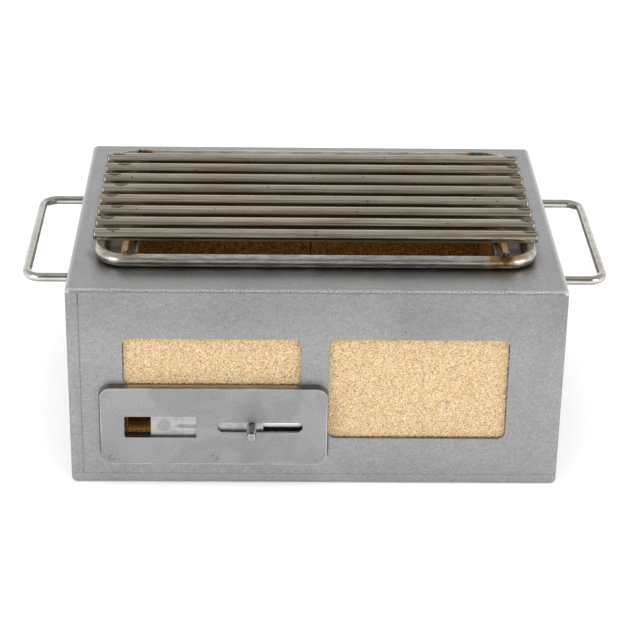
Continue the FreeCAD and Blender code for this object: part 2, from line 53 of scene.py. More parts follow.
WALL_LOW, WALL_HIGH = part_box("casing_walls")
PANEL_LOW, PANEL_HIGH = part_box("top_panel")
COVER_LOW, COVER_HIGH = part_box("vent_cover")
FRAME_LOW, FRAME_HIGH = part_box("grate_frame")
BAR_COUNT = 8
BAR_BOXES = [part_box("grate_bar_%d" % n) for n in range(1, BAR_COUNT + 1)]
BAR_LINES = [(low + high) / 2 for low, high in BAR_BOXES]
ROD_RADIUS = (FRAME_HIGH.z - FRAME_LOW.z) / 2
RAIL_X = FRAME_HIGH.x - ROD_RADIUS
RAIL_FRONT = FRAME_LOW.y + ROD_RADIUS
RAIL_BACK = FRAME_HIGH.y - ROD_RADIUS
RAIL_LEVEL = FRAME_LOW.z + ROD_RADIUS
BAR_END = BAR_BOXES[0][1].x
GRATE_CORNER = 16 * MM
COVER_CORNER = 7 * MM
STRAP_INNER_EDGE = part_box("cross_strap_right")[0].x
STRAP_WELD_X = STRAP_INNER_EDGE + 4.2 * MM
BRICKS = [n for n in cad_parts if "brick" in n]
BRICK_PITCH = 3 * MM
TUNNEL = (Vector((-121 * MM, -121 * MM, 37.5 * MM)), Vector((-77 * MM, -87 * MM, 54 * MM)))
LEFT_WINDOW_SIDE = 123 * MM
RIGHT_WINDOW_SIDE = 122.5 * MM
LEFT_SILL = 71.5 * MM
RIGHT_SILL = 33.6 * MM
LID_EDGE = 1.3 * MM
HANDLE_ROD = 6 * MM

# Nearly all values of a noise texture lie between these two.
NOISE_LOW = 0.3
NOISE_HIGH = 0.7


# ---------------------------------------------------------------- node helper


def add_node(tree, kind, inputs=None, **settings):
    """A node with its settings; an input is a number, a colour or another node's output."""
    node = tree.nodes.new(kind)
    for key, value in settings.items():
        setattr(node, key, value)
    for key, value in (inputs or {}).items():
        if isinstance(value, bpy.types.NodeSocket):
            tree.links.new(value, node.inputs[key])
        else:
            node.inputs[key].default_value = value
    return node


class Graph:
    """One material: a Principled shader and short calls that add nodes in front of it."""

    def __init__(self, name, metallic, roughness, colour):
        self.material = bpy.data.materials.new(name)
        self.material.use_nodes = True
        self.tree = self.material.node_tree
        self.shader = self.tree.nodes["Principled BSDF"]
        self.shader.inputs["Metallic"].default_value = metallic
        self.shader.inputs["Roughness"].default_value = roughness
        self.shader.inputs["Base Color"].default_value = (*colour, 1)
        self.point = self.add("ShaderNodeTexCoord").outputs["Object"]
        self.x, self.y, self.z = self.add("ShaderNodeSeparateXYZ", {0: self.point}).outputs

    def add(self, kind, inputs=None, **settings):
        return add_node(self.tree, kind, inputs, **settings)

    def math(self, operation, a, b=0.0, c=0.0):
        return self.add("ShaderNodeMath", {0: a, 1: b, 2: c}, operation=operation).outputs[0]

    def scaled(self, factors, point=None):
        """The point with each axis scaled, which stretches a pattern along the small ones."""
        inputs = {0: point or self.point, 1: factors}
        return self.add("ShaderNodeVectorMath", inputs, operation="MULTIPLY").outputs[0]

    def noise(self, scale, detail=3.0, rough=0.5, point=None, warp=0.0):
        """Cloudy noise of a scale per metre; detail and rough add finer layers, warp swirls it."""
        inputs = {
            "Vector": point or self.point,
            "Scale": scale,
            "Detail": detail,
            "Roughness": rough,
            "Distortion": warp,
        }
        return self.add("ShaderNodeTexNoise", inputs).outputs["Fac"]

    def cells(self, scale, point=None):
        """Voronoi cells: the distance from each cell's middle, and three random numbers per cell."""
        inputs = {"Vector": point or self.point, "Scale": scale, "Randomness": 1.0}
        node = self.add("ShaderNodeTexVoronoi", inputs, feature="F1")
        lots = self.add("ShaderNodeSeparateColor", {0: node.outputs["Color"]}).outputs
        return node.outputs["Distance"], lots[:3]

    def smooth(self, value, low, high, start=0.0, end=1.0):
        """Runs smoothly from start to end as the value goes from low to high."""
        inputs = {0: value, 1: low, 2: high, 3: start, 4: end}
        return self.add("ShaderNodeMapRange", inputs, interpolation_type="SMOOTHSTEP").outputs[0]

    def linear(self, value, low, high, start, end):
        """Runs straight from start to end as the value goes from low to high."""
        inputs = {0: value, 1: low, 2: high, 3: start, 4: end}
        return self.add("ShaderNodeMapRange", inputs).outputs[0]

    def span(self, mask, start, end):
        """Start where the mask is 0, end where it is 1."""
        return self.linear(mask, 0.0, 1.0, start, end)

    def vary(self, value, start, end):
        """Start to end over the values that a noise really takes."""
        return self.linear(value, NOISE_LOW, NOISE_HIGH, start, end)

    def off(self, value, centre):
        """How far a value is from a centre, in either direction."""
        return self.math("ABSOLUTE", self.math("SUBTRACT", value, centre))

    def mix(self, share, a, b, blend="MIX"):
        """Colour a, with as much of colour b over it as the share says."""
        node = self.add("ShaderNodeMix", data_type="RGBA", blend_type=blend)
        sockets = {s.identifier: s for s in node.inputs}
        for key, value in (("Factor_Float", share), ("A_Color", a), ("B_Color", b)):
            if isinstance(value, bpy.types.NodeSocket):
                self.tree.links.new(value, sockets[key])
            else:
                sockets[key].default_value = value if isinstance(value, float) else (*value, 1)
        return next(s for s in node.outputs if s.identifier == "Result_Color")

    def ramp(self, value, stops):
        """A colour ramp from (place, colour) pairs."""
        node = self.add("ShaderNodeValToRGB", {0: value})
        line = node.color_ramp.elements
        while len(line) < len(stops):
            line.new(0.5)
        for element, (place, colour) in zip(line, stops):
            element.position = place
            element.color = (*colour, 1)
        return node.outputs[0]

    def shade(self, colour, factor):
        """The colour times a grey factor that varies over the surface."""
        grey = self.add("ShaderNodeCombineColor", {0: factor, 1: factor, 2: factor}).outputs[0]
        return self.mix(1.0, colour, grey, "MULTIPLY")

    def distance(self, centre, stretch=(1, 1, 1)):
        """Distance of the point from a centre, each axis first divided by its stretch."""
        inputs = {0: self.point, 1: centre}
        away = self.add("ShaderNodeVectorMath", inputs, operation="SUBTRACT").outputs[0]
        away = self.scaled(tuple(1 / s for s in stretch), away)
        return self.add("ShaderNodeVectorMath", {0: away}, operation="LENGTH").outputs["Value"]

    def bump(self, height, depth, strength=1.0, after=None):
        """Relief of a height, one unit of which stands depth metres tall."""
        inputs = {"Height": height, "Distance": depth, "Strength": strength}
        if after is not None:
            inputs["Normal"] = after
        return self.add("ShaderNodeBump", inputs).outputs[0]

    def finish(self, colour=None, roughness=None, normal=None):
        """Plugs what is given into the shader and returns the material."""
        for key, value in (("Base Color", colour), ("Roughness", roughness), ("Normal", normal)):
            if value is not None:
                self.tree.links.new(value, self.shader.inputs[key])
        return self.material


# ---------------------------------------------------------------- materials


def rust_specks(graph, colour):
    """Scattered tiny rust specks on a steel colour."""
    away, lots = graph.cells(70.0)
    chosen = graph.math("GREATER_THAN", lots[0], 0.82)
    spot = graph.math("MULTIPLY", graph.smooth(away, 0.03, 0.054, 1.0, 0.0), chosen)
    return graph.mix(graph.math("MULTIPLY", spot, 0.75), colour, (0.16, 0.07, 0.03))


def mill_steel(name, base, roughness=0.47, relief=0.12 * MM, marks=()):
    """Matt grey mill-finish sheet: fine grain, soft clouds, a few rust specks, then its own marks."""
    graph = Graph(name, 1.0, roughness, base)
    grain = graph.noise(820.0, 4.0, 0.7)
    mottle = graph.noise(1.0, 3.0, 0.6, graph.scaled((260, 420, 420)))
    cloud = graph.noise(14.0, 4.0, 0.55, warp=0.4)
    tone = graph.vary(grain, 0.76, 1.24)
    tone = graph.math("MULTIPLY", tone, graph.vary(mottle, 0.92, 1.08))
    tone = graph.math("MULTIPLY", tone, graph.vary(cloud, 0.92, 1.08))
    colour = rust_specks(graph, graph.shade(base, tone))
    rough = graph.vary(grain, roughness - 0.05, roughness + 0.06)
    normal = graph.bump(grain, relief)
    for mark in marks:
        colour, rough, normal = mark(graph, colour, rough, normal)
    return graph.finish(colour, rough, normal)


def ground_edge_and_painted_light(graph, colour, rough, normal):
    """Broken bright grinding marks on the lid above its front edge, painted shade that dulls the fillet and
    face below them, and painted highlights along its side edges.
    """
    down = graph.math("SUBTRACT", PANEL_HIGH.z, graph.z)
    wander = graph.vary(graph.noise(320.0, 3.0, 0.6), -0.5 * MM, 0.6 * MM)
    flecks = graph.smooth(graph.noise(900.0, 3.0, 0.7, warp=0.4), 0.38, 0.62)
    inward = graph.math("SUBTRACT", graph.y, PANEL_LOW.y)
    reach = graph.math("ADD", inward, wander)
    edge = graph.smooth(reach, 2.4 * MM, 4.4 * MM, 1.0, 0.0)
    edge = graph.math("MULTIPLY", edge, graph.smooth(down, 0.2 * MM, 0.7 * MM, 1.0, 0.0))
    bright = graph.math("MULTIPLY", edge, graph.span(flecks, 0.2, 1.15))
    # Painted highlights along the lid's side edges, brighter towards the right.
    aside = graph.math("SUBTRACT", PANEL_HIGH.x, graph.math("ABSOLUTE", graph.x))
    side = graph.smooth(graph.math("MAXIMUM", aside, down), 0.8 * MM, 3.4 * MM, 1.0, 0.0)
    side = graph.math("MULTIPLY", side, graph.smooth(graph.x, -0.1, 0.1, 0.65, 0.95))
    strip = graph.linear(graph.x, PANEL_LOW.x, PANEL_HIGH.x, 0.75, 1.0)
    bright = graph.math("MULTIPLY", bright, strip)
    # Painted shade on the front fillet and face, dulling their reflection.
    on_front = graph.math("LESS_THAN", inward, LID_EDGE)
    painted_fillet_shade = graph.math("MULTIPLY", graph.smooth(down, 0.45 * MM, 0.95 * MM), on_front)
    colour = graph.shade(colour, graph.span(painted_fillet_shade, 1.0, 0.64))
    colour = graph.mix(side, colour, (0.68, 0.68, 0.68))
    colour = graph.mix(bright, colour, (0.95, 0.95, 0.95))
    normal = graph.bump(graph.math("MULTIPLY", edge, flecks), 0.12 * MM, 1.0, normal)
    return colour, rough, normal


def rail_shadow_and_soot(graph, colour, rough, normal):
    """Uneven dark band on the lid round the grate's rails, strongest in front: painted shadow and
    reflection of the rails, with some soot and grease.
    """
    middle = (RAIL_FRONT + RAIL_BACK) / 2
    along = graph.math("SUBTRACT", graph.y, middle)
    away = rounded_outline(graph, graph.x, along, RAIL_X, RAIL_BACK - middle, GRATE_CORNER)
    wander = graph.vary(graph.noise(70.0, 4.0, 0.6), -2.2 * MM, 2.2 * MM)
    # Painted shadow of the rails: darkest close to them, fading outward.
    near = graph.smooth(graph.math("ADD", away, wander), 1.0 * MM, 11.0 * MM, 0.45, 1.0)
    inside = graph.smooth(away, -4.0 * MM, -1.0 * MM, 1.0, 0.0)
    factor = graph.math("MAXIMUM", near, inside)
    behind = graph.smooth(graph.y, RAIL_FRONT + 3 * MM, RAIL_FRONT + 30 * MM, 0.0, 0.8)
    return graph.shade(colour, graph.math("MAXIMUM", factor, behind)), rough, normal


def darker_towards_top(graph, colour, rough, normal):
    """The walls are slightly darker towards their top, where the lid is welded on."""
    top_factor = graph.smooth(graph.z, WALL_HIGH.z - 42 * MM, WALL_HIGH.z - 12 * MM, 1.0, 0.87)
    return graph.shade(colour, top_factor), rough, normal


def seam_stain(graph, colour, rough, normal):
    """Faint lines of dirt in the wall's seam, dark in the notch at its top, and along its foot."""
    away = graph.off(graph.x, WALL_LOW.x + 8.2 * MM)
    line = graph.smooth(away, 0.2 * MM, 0.6 * MM, 1.0, 0.0)
    notch = graph.smooth(graph.z, WALL_HIGH.z - 9 * MM, WALL_HIGH.z - 6 * MM, 0.3, 0.8)
    front = graph.math("LESS_THAN", graph.y, WALL_LOW.y + 1.2 * MM)
    share = graph.math("MULTIPLY", graph.math("MULTIPLY", line, notch), front)
    foot = graph.smooth(graph.z, WALL_LOW.z + 0.2 * MM, WALL_LOW.z + 0.9 * MM, 0.3, 0.0)
    share = graph.math("MAXIMUM", share, foot)
    return graph.mix(share, colour, (0.06, 0.06, 0.06)), rough, normal


def rounded_outline(graph, across, along, half_across, half_along, radius):
    """Signed distance from a rectangle with round corners, given the place from its middle."""
    out_a = graph.math("SUBTRACT", graph.math("ABSOLUTE", across), half_across - radius)
    out_b = graph.math("SUBTRACT", graph.math("ABSOLUTE", along), half_along - radius)
    square_a = graph.math("POWER", graph.math("MAXIMUM", out_a, 0.0), 2.0)
    square_b = graph.math("POWER", graph.math("MAXIMUM", out_b, 0.0), 2.0)
    outside = graph.math("SQRT", graph.math("ADD", square_a, square_b))
    inside = graph.math("MINIMUM", graph.math("MAXIMUM", out_a, out_b), 0.0)
    return graph.math("SUBTRACT", graph.math("ADD", outside, inside), radius)


def cover_outline(graph):
    """Signed distance from the outline of the vent cover in the plane of the front face."""
    middle = (COVER_LOW + COVER_HIGH) / 2
    half = (COVER_HIGH - COVER_LOW) / 2
    across = graph.math("SUBTRACT", graph.x, middle.x)
    up = graph.math("SUBTRACT", graph.z, middle.z)
    return rounded_outline(graph, across, up, half.x, half.z, COVER_CORNER)


def behind_cover(graph, colour, rough, normal):
    """A painted shadow line round the vent cover, and the wall behind it brighter and smoother: painted
    light, and rubbing by the damper.
    """
    front = graph.math("LESS_THAN", graph.y, WALL_LOW.y + 0.5 * MM)
    # Painted shadow line just outside the cover's outline.
    away = graph.math("SUBTRACT", cover_outline(graph), 0.6 * MM)
    line = graph.smooth(graph.math("ABSOLUTE", away), 0.2 * MM, 0.8 * MM, 0.6, 0.0)
    colour = graph.mix(graph.math("MULTIPLY", line, front), colour, (0.03, 0.03, 0.03))
    # Painted light on the wall behind the cover, which is also made smoother.
    rub = graph.smooth(cover_outline(graph), -4 * MM, -6 * MM)
    rub = graph.math("MULTIPLY", rub, front)
    colour = graph.mix(rub, colour, (0.9, 0.9, 0.9))
    return colour, graph.math("SUBTRACT", rough, graph.math("MULTIPLY", rub, 0.15)), normal


def cover_steel(name):
    """Cover sheet with cloudy handling marks, a light line along its edges that is wear and painted
    highlight, and faint spot welds.
    """
    base = (0.305, 0.305, 0.31)
    graph = Graph(name, 1.0, 0.46, base)
    grain = graph.noise(1250.0, 4.0, 0.65)
    smear = graph.noise(24.0, 3.0, 0.5, warp=1.3)
    broad = graph.noise(9.0, 2.0, 0.5, warp=0.5)
    tide = graph.smooth(graph.off(smear, 0.47), 0.0, 0.009, 1.0, 0.0)
    tone = graph.vary(grain, 0.73, 1.27)
    tone = graph.math("MULTIPLY", tone, graph.span(graph.smooth(smear, 0.36, 0.6), 0.93, 1.04))
    tone = graph.math("MULTIPLY", tone, graph.linear(broad, 0.35, 0.65, 0.95, 1.04))
    tone = graph.math("MULTIPLY", tone, graph.span(tide, 1.0, 0.94))
    colour = graph.shade(base, tone)

    # A light line along the cover's edges: wear, and a painted highlight on the edge.
    edge = graph.smooth(graph.math("ADD", cover_outline(graph), 0.45 * MM), -0.5 * MM, 0.0)
    edge_wear_and_highlight = graph.linear(graph.noise(90.0, 3.0, 0.6), 0.35, 0.65, 0.0, 0.35)
    colour = graph.mix(graph.math("MULTIPLY", edge, edge_wear_and_highlight), colour, (0.72, 0.72, 0.72))
    spot, ring = spot_welds(graph)
    colour = graph.mix(graph.math("MULTIPLY", ring, 0.5), colour, (0.1, 0.1, 0.1))
    normal = graph.bump(grain, 0.1 * MM)
    normal = graph.bump(spot, 0.12 * MM, 0.5, normal)
    return graph.finish(colour, graph.linear(smear, 0.35, 0.65, 0.5, 0.42), normal)


def spot_welds(graph):
    """Discs and broken rings of the six resistance welds that hold the cover to its guides."""
    pitch = 65.4 * MM
    first = COVER_LOW.x + 7.1 * MM
    offset = graph.math("WRAP", graph.math("SUBTRACT", graph.x, first), pitch / 2, -pitch / 2)
    middle = (COVER_LOW.z + COVER_HIGH.z) / 2
    row = (COVER_HIGH.z - COVER_LOW.z) / 2 - 5 * MM
    rise = graph.math("SUBTRACT", graph.off(graph.z, middle), row)
    square = graph.math("ADD", graph.math("POWER", offset, 2.0), graph.math("POWER", rise, 2.0))
    away = graph.math("SQRT", square)
    disc = graph.smooth(away, 1.4 * MM, 2.5 * MM, 1.0, 0.0)
    off_ring = graph.off(away, 1.9 * MM)
    ring = graph.smooth(off_ring, 0.2 * MM, 0.8 * MM, 1.0, 0.0)
    broken = graph.smooth(graph.noise(380.0, 3.0, 0.6), 0.44, 0.56)
    low = graph.smooth(graph.z, middle - 10 * MM, middle + 10 * MM, 1.0, 0.3)
    ring = graph.math("MULTIPLY", graph.math("MULTIPLY", ring, broken), low)
    return graph.math("MULTIPLY", disc, low), ring


def guide_steel(name):
    """Edge of the guide strips: a dark joint under the cover, brown scale, then bare metal with a painted
    highlight; the lower strip painted nearly black as shade.
    """
    base = (0.3, 0.28, 0.25)
    graph = Graph(name, 1.0, 0.4, base)
    grain = graph.noise(500.0, 4.0, 0.6)
    colour = graph.shade(base, graph.vary(grain, 0.7, 1.3))
    depth = graph.math("SUBTRACT", graph.y, COVER_HIGH.y)
    wander = graph.vary(graph.noise(120.0, 3.0, 0.6), -0.25 * MM, 0.25 * MM)
    depth = graph.math("ADD", depth, wander)
    scale = graph.smooth(depth, 0.4 * MM, 0.9 * MM)
    scale = graph.math("MULTIPLY", scale, graph.smooth(depth, 1.5 * MM, 2.0 * MM, 1.0, 0.0))
    colour = graph.mix(graph.smooth(depth, 0.3 * MM, 0.7 * MM, 0.9, 0.0), colour, (0.02, 0.015, 0.01))
    colour = graph.mix(graph.math("MULTIPLY", scale, 0.85), colour, (0.58, 0.36, 0.16))
    # A light line at the back of the top face: bare metal and painted highlight.
    colour = graph.mix(graph.smooth(depth, 1.9 * MM, 2.4 * MM, 0.0, 0.7), colour, (0.75, 0.73, 0.7))
    # Painted shade: the lower strip is made nearly black.
    lower = graph.smooth(graph.z, COVER_HIGH.z - 20 * MM, COVER_HIGH.z - 15 * MM, 0.85, 0.0)
    colour = graph.mix(lower, colour, (0.04, 0.04, 0.04))
    return graph.finish(colour, None, graph.bump(grain, 0.1 * MM))


def damper_steel(name):
    """Brighter cold-rolled plate with a smudge, rubbed lengthwise by its own sliding."""
    base = (0.385, 0.385, 0.38)
    graph = Graph(name, 1.0, 0.4, base)
    streak = graph.noise(1.0, 3.0, 0.6, graph.scaled((60, 60, 1300)))
    blot = graph.noise(110.0, 3.0, 0.6, warp=0.7)
    tone = graph.vary(streak, 0.88, 1.14)
    tone = graph.math("MULTIPLY", tone, graph.span(graph.smooth(blot, 0.5, 0.58), 1.07, 0.92))
    low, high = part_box("slider_plate")
    middle = (low.z + high.z) / 2
    smudge = graph.distance((low.x + 8.5 * MM, low.y, middle), (4.6 * MM, 9 * MM, 4.6 * MM))
    smudge = graph.smooth(graph.math("ADD", smudge, graph.vary(blot, -0.2, 0.2)), 0.7, 1.1, 0.76, 1.0)
    rub = graph.distance((low.x + 24 * MM, low.y, middle - 0.4 * MM), (11 * MM, 9 * MM, 1.9 * MM))
    rub = graph.smooth(graph.math("ADD", rub, graph.vary(streak, -0.3, 0.3)), 0.6, 1.0, 0.66, 1.0)
    tone = graph.math("MULTIPLY", tone, graph.math("MULTIPLY", smudge, rub))
    rough = graph.vary(blot, 0.34, 0.48)
    return graph.finish(graph.shade(base, tone), rough, graph.bump(streak, 0.04 * MM))


def pin_steel(name):
    """Turned pin: lengthwise wear, a bright tip with painted shade round its rim, and the ring left by a
    lathe.
    """
    base = (0.5, 0.485, 0.46)
    graph = Graph(name, 1.0, 0.26, base)
    low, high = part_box("slider_pin")
    wear = graph.noise(1.0, 3.0, 0.6, graph.scaled((900, 90, 900)))
    bright = graph.smooth(graph.y, low.y + 0.3 * MM, low.y + 2.2 * MM, 1.0, 0.0)
    colour = graph.shade(base, graph.vary(wear, 0.8, 1.15))
    colour = graph.mix(graph.math("MULTIPLY", bright, 0.4), colour, (0.6, 0.59, 0.56))
    axis = graph.distance(((low.x + high.x) / 2, low.y, (low.z + high.z) / 2), (1, 1000, 1))
    ring = graph.smooth(graph.off(axis, 1.0 * MM), 0.15 * MM, 0.4 * MM, 0.7, 0.0)
    flat = graph.math("LESS_THAN", graph.y, low.y + 0.5 * MM)
    colour = graph.shade(colour, graph.span(flat, 1.0, 0.7))
    colour = graph.mix(graph.math("MULTIPLY", ring, flat), colour, (0.12, 0.11, 0.1))
    # Painted shade round the rim of the tip.
    tip = graph.smooth(graph.y, low.y + 1.2 * MM, low.y + 2.4 * MM, 1.0, 0.0)
    rim = graph.math("MULTIPLY", graph.smooth(axis, 2.45 * MM, 2.9 * MM), tip)
    colour = graph.shade(colour, graph.span(rim, 1.0, 0.4))
    return graph.finish(colour, graph.vary(wear, 0.2, 0.3), graph.bump(wear, 0.015 * MM))


def underside_painted_shade(graph, colour, rough, level, darkest, above):
    """Painted shade in a band below the middle of a rod, faintest at the right end, and a matt underside.
    """
    lowest = graph.linear(graph.x, 0.06, 0.125, darkest, 0.9)
    height = graph.smooth(graph.z, level - 0.6 * MM, level + above)
    under = graph.smooth(graph.z, level - 1.9 * MM, level - 0.8 * MM, 1.0, 0.0)
    height = graph.math("MAXIMUM", height, under)
    factor = graph.math("MULTIPLY_ADD", height, graph.math("SUBTRACT", 1.0, lowest), lowest)
    return graph.shade(colour, factor), graph.math("MULTIPLY_ADD", under, 0.3, rough)


def heat_tint(graph, colour, away, reach, strength=1.0):
    """Oxide colours of stainless steel round a weld: blue-grey, brown, then straw."""
    wander = graph.vary(graph.noise(230.0, 3.0, 0.6), -0.16, 0.16)
    place = graph.math("ADD", graph.math("DIVIDE", away, reach), wander)
    tint = graph.ramp(
        place,
        [
            (0.0, (0.07, 0.06, 0.07)),
            (0.3, (0.07, 0.03, 0.012)),
            (0.5, (0.3, 0.13, 0.025)),
            (0.72, (0.6, 0.36, 0.1)),
            (1.0, (0.62, 0.52, 0.35)),
        ],
    )
    share = graph.smooth(place, 0.4, 1.05, strength, 0.0)
    return graph.mix(share, colour, tint)


def drawn_rod(name, base, rough_low, rough_high, axis_scale, wear=1.0):
    """Drawn round rod: lengthwise streaks, dark pits and warm oxide patches, as strong as its wear."""
    graph = Graph(name, 1.0, (rough_low + rough_high) / 2, base)
    streak = graph.noise(1.0, 4.0, 0.62, graph.scaled(axis_scale))
    broad = graph.noise(40.0, 3.0, 0.5, graph.scaled((0.35, 1, 1)))
    speckle = graph.noise(1100.0, 2.0, 0.6)
    away, lots = graph.cells(230.0, graph.scaled((0.6, 1, 1)))
    small = graph.smooth(away, 0.06, 0.16, 1.0, 0.0)
    pits = graph.math("MULTIPLY", small, graph.math("GREATER_THAN", lots[0], 0.68))
    tone = graph.vary(streak, 1 - 0.45 * wear, 1 + 0.3 * wear)
    tone = graph.math("MULTIPLY", tone, graph.vary(broad, 1 - 0.16 * wear, 1 + 0.12 * wear))
    tone = graph.math("MULTIPLY", tone, graph.vary(speckle, 0.9, 1.1))
    colour = graph.shade(base, tone)
    oxide = graph.noise(190.0, 5.0, 0.7, graph.scaled((0.1, 1, 1)))
    warm = graph.smooth(oxide, 0.48, 0.66)
    colour = graph.mix(graph.math("MULTIPLY", warm, 0.5 * wear), colour, (0.36, 0.235, 0.1))
    cool = graph.smooth(oxide, 0.36, 0.48, 1.0, 0.0)
    colour = graph.mix(graph.math("MULTIPLY", cool, 0.3 * wear), colour, (0.5, 0.49, 0.47))
    colour = graph.mix(graph.math("MULTIPLY", pits, 0.85 * wear), colour, (0.05, 0.035, 0.025))
    rough = graph.vary(streak, rough_low, rough_high)
    height = graph.math("SUBTRACT", graph.math("MULTIPLY", streak, 0.5), pits)
    return graph, colour, rough, graph.bump(height, 0.06 * MM * wear)


def bar_steel(number, line):
    """Steel of one grate bar, with painted shade below its middle, darker ends, and the mark that
    resistance welding left near each end.
    """
    base = (0.61, 0.555, 0.45)
    graph, colour, rough, normal = drawn_rod("bar_steel_%d" % number, base, 0.22, 0.37, (9, 1100, 1100))
    darkest = 0.3 if number == 1 else 0.75
    colour, rough = underside_painted_shade(graph, colour, rough, line.z, darkest, 2.2 * MM)
    out = graph.math("ABSOLUTE", graph.x)
    # Darker ends: oxide on the cut faces, and painted shade that dims their glint.
    end_oxide_and_shade = graph.smooth(out, BAR_END - 1.2 * MM, BAR_END - 0.4 * MM, 1.0, 0.25)
    colour = graph.shade(colour, end_oxide_and_shade)
    from_end = (12.9 if number % 2 else 7.8) * MM
    wander = graph.vary(graph.noise(420.0, 2.0, 0.5), -0.12, 0.12)
    for centre in (-BAR_END + from_end, BAR_END - 5.2 * MM):
        place = (centre, line.y + 0.3 * MM, line.z + ROD_RADIUS)
        spot = graph.distance(place, (4.2 * MM, 2.2 * MM, 5.0 * MM))
        spot = graph.math("ADD", spot, wander)
        rim = graph.smooth(spot, 0.9, 1.15, 0.95, 0.0)
        inside = graph.smooth(spot, 0.6, 0.85, 0.9, 0.0)
        colour = graph.mix(rim, colour, (0.09, 0.035, 0.015))
        colour = graph.mix(inside, colour, (0.31, 0.2, 0.125))
    return graph.finish(colour, rough, normal)


def frame_steel(name):
    """Steel of the grate's frame, tinted round the strap welds, with painted shade below its middle and on
    the side rails beside the bars.
    """
    base = (0.62, 0.59, 0.54)
    graph, colour, rough, normal = drawn_rod(name, base, 0.22, 0.36, (80, 80, 1100))
    colour, rough = underside_painted_shade(graph, colour, rough, RAIL_LEVEL, 0.55, 3.0 * MM)
    # Painted shade on the side rails where they run under the bars.
    among_bars = graph.smooth(graph.y, BAR_LINES[0].y - 3 * MM, BAR_LINES[0].y + 3 * MM)
    before_last = graph.smooth(graph.y, BAR_LINES[-1].y - 3 * MM, BAR_LINES[-1].y + 3 * MM, 1.0, 0.0)
    painted_shade = graph.math("MULTIPLY", among_bars, before_last)
    colour = graph.shade(colour, graph.span(painted_shade, 1.0, 0.3))
    for side in (-1, 1):
        for back in (RAIL_FRONT + 2.5 * MM, RAIL_BACK - 2.5 * MM):
            away = graph.distance((side * STRAP_WELD_X, back, RAIL_LEVEL + 3.0 * MM), (1.25, 1, 1))
            reach = (12.5 if side > 0 else 8.5) * MM
            colour = heat_tint(graph, colour, away, reach, 0.95)
    return graph.finish(colour, rough, normal)


def strap_steel(name):
    """Flat bar of the cross straps: dark scale on top, and a painted highlight along the inner edge."""
    base = (0.13, 0.125, 0.115)
    graph, colour, rough, normal = drawn_rod(name, base, 0.3, 0.5, (900, 9, 500))
    # Painted highlight along the strap's inner edge.
    inner = graph.math("SUBTRACT", graph.math("ABSOLUTE", graph.x), STRAP_INNER_EDGE)
    line = graph.smooth(graph.off(inner, 0.35 * MM), 0.2 * MM, 0.6 * MM, 0.7, 0.0)
    colour = graph.mix(line, colour, (0.6, 0.58, 0.54))
    return graph.finish(colour, rough, normal)


def handle_steel(name):
    """Polished round rod with painted shade underneath, straw and brown where its legs are welded on."""
    base = (0.62, 0.6, 0.565)
    graph, colour, rough, normal = drawn_rod(name, base, 0.1, 0.22, (90, 90, 700), 0.5)
    away = graph.math("SUBTRACT", graph.math("ABSOLUTE", graph.x), WALL_HIGH.x)
    colour = heat_tint(graph, colour, away, 7 * MM, 0.3)
    low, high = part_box("handle_right")
    level = (low.z + high.z) / 2
    # Painted shade on the underside of the handles.
    colour = graph.shade(colour, graph.smooth(graph.z, level - 1.3 * MM, level + 0.3 * MM, 0.5, 1.0))
    return graph.finish(colour, rough, normal)


def weld_metal(name, dim):
    """Weld bead: blue-grey metal with brown oxide in its ripples; dim darkens all of it, and on the beads
    under the bars it is painted shade.
    """
    base = (0.2, 0.2, 0.21)
    graph = Graph(name, 1.0, 0.34, base)
    patch = graph.noise(420.0, 4.0, 0.6, warp=0.5)
    colour = graph.ramp(
        patch,
        [
            (0.34, (0.03, 0.025, 0.03)),
            (0.46, (0.12, 0.1, 0.1)),
            (0.54, (0.2, 0.22, 0.27)),
            (0.66, (0.45, 0.46, 0.5)),
        ],
    )
    colour = graph.mix(1.0, colour, (dim, dim, dim), "MULTIPLY")
    rough = graph.vary(patch, 0.5, 0.26)
    return graph.finish(colour, rough, graph.bump(patch, 0.25 * MM))


def fire_steel(name):
    """Charcoal grate: dull, heat-darkened steel with a little scale."""
    base = (0.17, 0.16, 0.15)
    graph = Graph(name, 1.0, 0.55, base)
    scale = graph.noise(260.0, 5.0, 0.65)
    cloud = graph.noise(30.0, 3.0, 0.5)
    colour = graph.shade(base, graph.vary(scale, 0.6, 1.4))
    brown = graph.math("MULTIPLY", graph.smooth(cloud, 0.48, 0.62), 0.5)
    colour = graph.mix(brown, colour, (0.16, 0.09, 0.05))
    return graph.finish(colour, graph.vary(scale, 0.65, 0.42), graph.bump(scale, 0.12 * MM))


